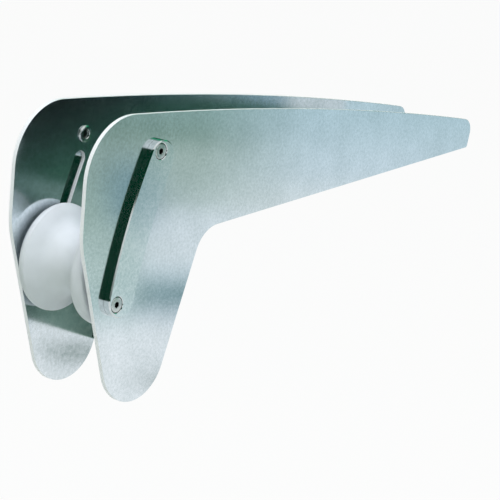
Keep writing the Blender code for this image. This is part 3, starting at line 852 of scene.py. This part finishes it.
def graded_card():
    """Card with a dark line low down and a darker top. It fades to paler at its aft side, and
    to an even grey green at the side that the nose of the near cheek shows."""
    material, tree, shader = new_material("graded card")
    across = add_node(tree, "ShaderNodeSeparateXYZ",
                      links={"Vector": add_node(tree, "ShaderNodeTexCoord").outputs["UV"]})
    aft = add_node(tree, "ShaderNodeValToRGB", links={"Fac": across.outputs["Y"]})
    set_ramp(aft, (0.62, linear("F6FAFC")), (0.72, linear("D9E7EE")), (0.90, linear("C3DBE3")))
    front = add_node(tree, "ShaderNodeValToRGB", links={"Fac": across.outputs["Y"]})
    set_ramp(front, (0.24, linear("FBFDFF")), (0.29, linear("D4E0E8")), (0.325, linear("688E93")),
             (0.36, linear("6F959A")), (0.40, linear("D6E4EA")), (0.45, linear("F2F7FA")),
             (0.585, linear("E6EEF2")), (0.615, linear("BCCCC7")), (0.77, linear("B6C8BF")),
             (0.815, linear("84A094")), (0.88, linear("90AEA8")))
    nose = add_node(tree, "ShaderNodeValToRGB", links={"Fac": across.outputs["Y"]})
    set_ramp(nose, (0.22, linear("FCFEFF")), (0.30, linear("BED5D4")), (0.38, linear("C2D4CE")),
             (0.47, linear("BBCFC9")), (0.62, linear("A6BDB1")), (0.76, linear("A2B6AE")),
             (0.83, linear("7E988C")), (0.90, linear("90AEA8")))
    result = aft.outputs["Color"]
    for further, start, end in ((front, 0.405, 0.56), (nose, 0.642, 0.672)):
        share = add_node(tree, "ShaderNodeMapRange", {"From Min": start, "From Max": end},
                         {"Value": across.outputs["X"]})
        mixed = add_node(tree, "ShaderNodeMix", data_type="RGBA")
        tree.links.new(share.outputs["Result"], mixed.inputs[0])
        tree.links.new(result, mixed.inputs[6])
        tree.links.new(further.outputs["Color"], mixed.inputs[7])
        result = mixed.outputs[2]
    plain = add_node(tree, "ShaderNodeEmission", {"Strength": 1.0}, {"Color": result})
    show(tree, plain.outputs["Emission"])
    return material


def upright_card(name, *stops):
    """Card whose colour changes from its foot to its top."""
    material, tree, _ = new_material(name)
    across = add_node(tree, "ShaderNodeSeparateXYZ",
                      links={"Vector": add_node(tree, "ShaderNodeTexCoord").outputs["UV"]})
    tone = add_node(tree, "ShaderNodeValToRGB", links={"Fac": across.outputs["Y"]})
    set_ramp(tone, *stops)
    plain = add_node(tree, "ShaderNodeEmission", {"Strength": 1.0},
                     {"Color": tone.outputs["Color"]})
    show(tree, plain.outputs["Emission"])
    return material


def soft_card(name, colour):
    """Card of one colour that fades out towards its rim."""
    material, tree, _ = new_material(name)
    place = add_node(tree, "ShaderNodeMapping", {"Location": (-1.0, -1.0, 0.0),
                                                 "Scale": (2.0, 2.0, 0.0)},
                     {"Vector": add_node(tree, "ShaderNodeTexCoord").outputs["UV"]})
    fade = add_node(tree, "ShaderNodeTexGradient", links={"Vector": place.outputs["Vector"]},
                    gradient_type="SPHERICAL")
    share = add_node(tree, "ShaderNodeMapRange", {"From Max": 0.6},
                     {"Value": fade.outputs["Fac"]})
    plain = add_node(tree, "ShaderNodeEmission", {"Color": colour, "Strength": 1.0})
    clear = add_node(tree, "ShaderNodeBsdfTransparent")
    mixed = add_node(tree, "ShaderNodeMixShader",
                     links={0: share.outputs["Result"], 1: clear.outputs["BSDF"],
                            2: plain.outputs["Emission"]})
    show(tree, mixed.outputs["Shader"])
    return material


CARD_FACING = (-0.735, 0.62, 0.275)
add_card("graded_card", (0.19396, -0.28097, -0.13884), CARD_FACING, 0.60, 0.30, graded_card())
add_card("blue_card", (0.13524, -0.36253, -0.09736), CARD_FACING, 0.060, 0.090,
         soft_card("blue gauze", (0.17, 0.31, 0.37, 1.0)))
add_card("leg_card", (0.1315, -0.2950, -0.2595), CARD_FACING, 0.078, 0.024,
         soft_card("green gauze", (0.01, 0.09, 0.05, 1.0)))
add_card("camera_side_card", (-1.685, -1.435, 0.634), (0.688, 0.664, -0.292), 2.0, 2.05,
         plain_card("dark green cloth", (0.0, 0.042, 0.019, 1.0)))
add_card("port_card", (-1.222, -1.574, 0.297), (0.54, 0.83, -0.15), 0.42, 0.70,
         plain_card("white card", (1.0, 1.0, 1.0, 1.0)))
add_card("aft_card", (1.6, 0.0, 0.85), (-1.0, 0.0, 0.0), 4.8, 2.1,
         upright_card("green cloth", (0.32, (0.002, 0.07, 0.035, 1.0)),
                      (0.48, (0.010, 0.58, 0.25, 1.0)), (0.60, (0.020, 0.45, 0.23, 1.0)),
                      (0.74, (0.30, 0.46, 0.40, 1.0))))

MIDDLE = (-0.06, 0.0, 0.0)
top_lamp = add_lamp("top_lamp", (-0.5, -0.3, 1.6), MIDDLE, 1.2, 27.0)
top_lamp.data.color = (0.91, 0.93, 1.0)
top_lamp.visible_glossy = False
front_lamp = add_lamp("front_lamp", (-1.6, -0.9, 0.7), MIDDLE, 0.8, 6.0)
front_lamp.visible_glossy = False

world = bpy.data.worlds.new("white_studio")
bpy.context.scene.world = world
world.use_nodes = True
sky_tree = world.node_tree
sky = sky_tree.nodes["Background"]
seen = add_node(sky_tree, "ShaderNodeLightPath")
direct = add_node(sky_tree, "ShaderNodeMath", operation="MAXIMUM",
                  links={0: seen.outputs["Is Camera Ray"], 1: seen.outputs["Is Glossy Ray"]})
through = add_node(sky_tree, "ShaderNodeMath", operation="MAXIMUM",
                   links={0: direct.outputs["Value"], 1: seen.outputs["Is Transmission Ray"]})
room = add_node(sky_tree, "ShaderNodeMix", {6: (0.145, 0.20, 0.155, 1.0), 7: linear("FFFFFF")},
                {0: through.outputs["Value"]}, data_type="RGBA")
sky_tree.links.new(room.outputs[2], sky.inputs["Color"])
sky.inputs["Strength"].default_value = 1.0

camera_data = bpy.data.cameras.new("camera")
camera_data.lens = 160.6
camera_data.sensor_width = 36.0
camera = bpy.data.objects.new("camera", camera_data)
camera.location = (-1.31346, -0.95591, 0.42141)
camera.rotation_euler = (math.radians(73.482), math.radians(-1.968), math.radians(-51.803))
bpy.context.scene.collection.objects.link(camera)
bpy.context.scene.camera = camera
bpy.context.scene.view_settings.view_transform = "Standard"
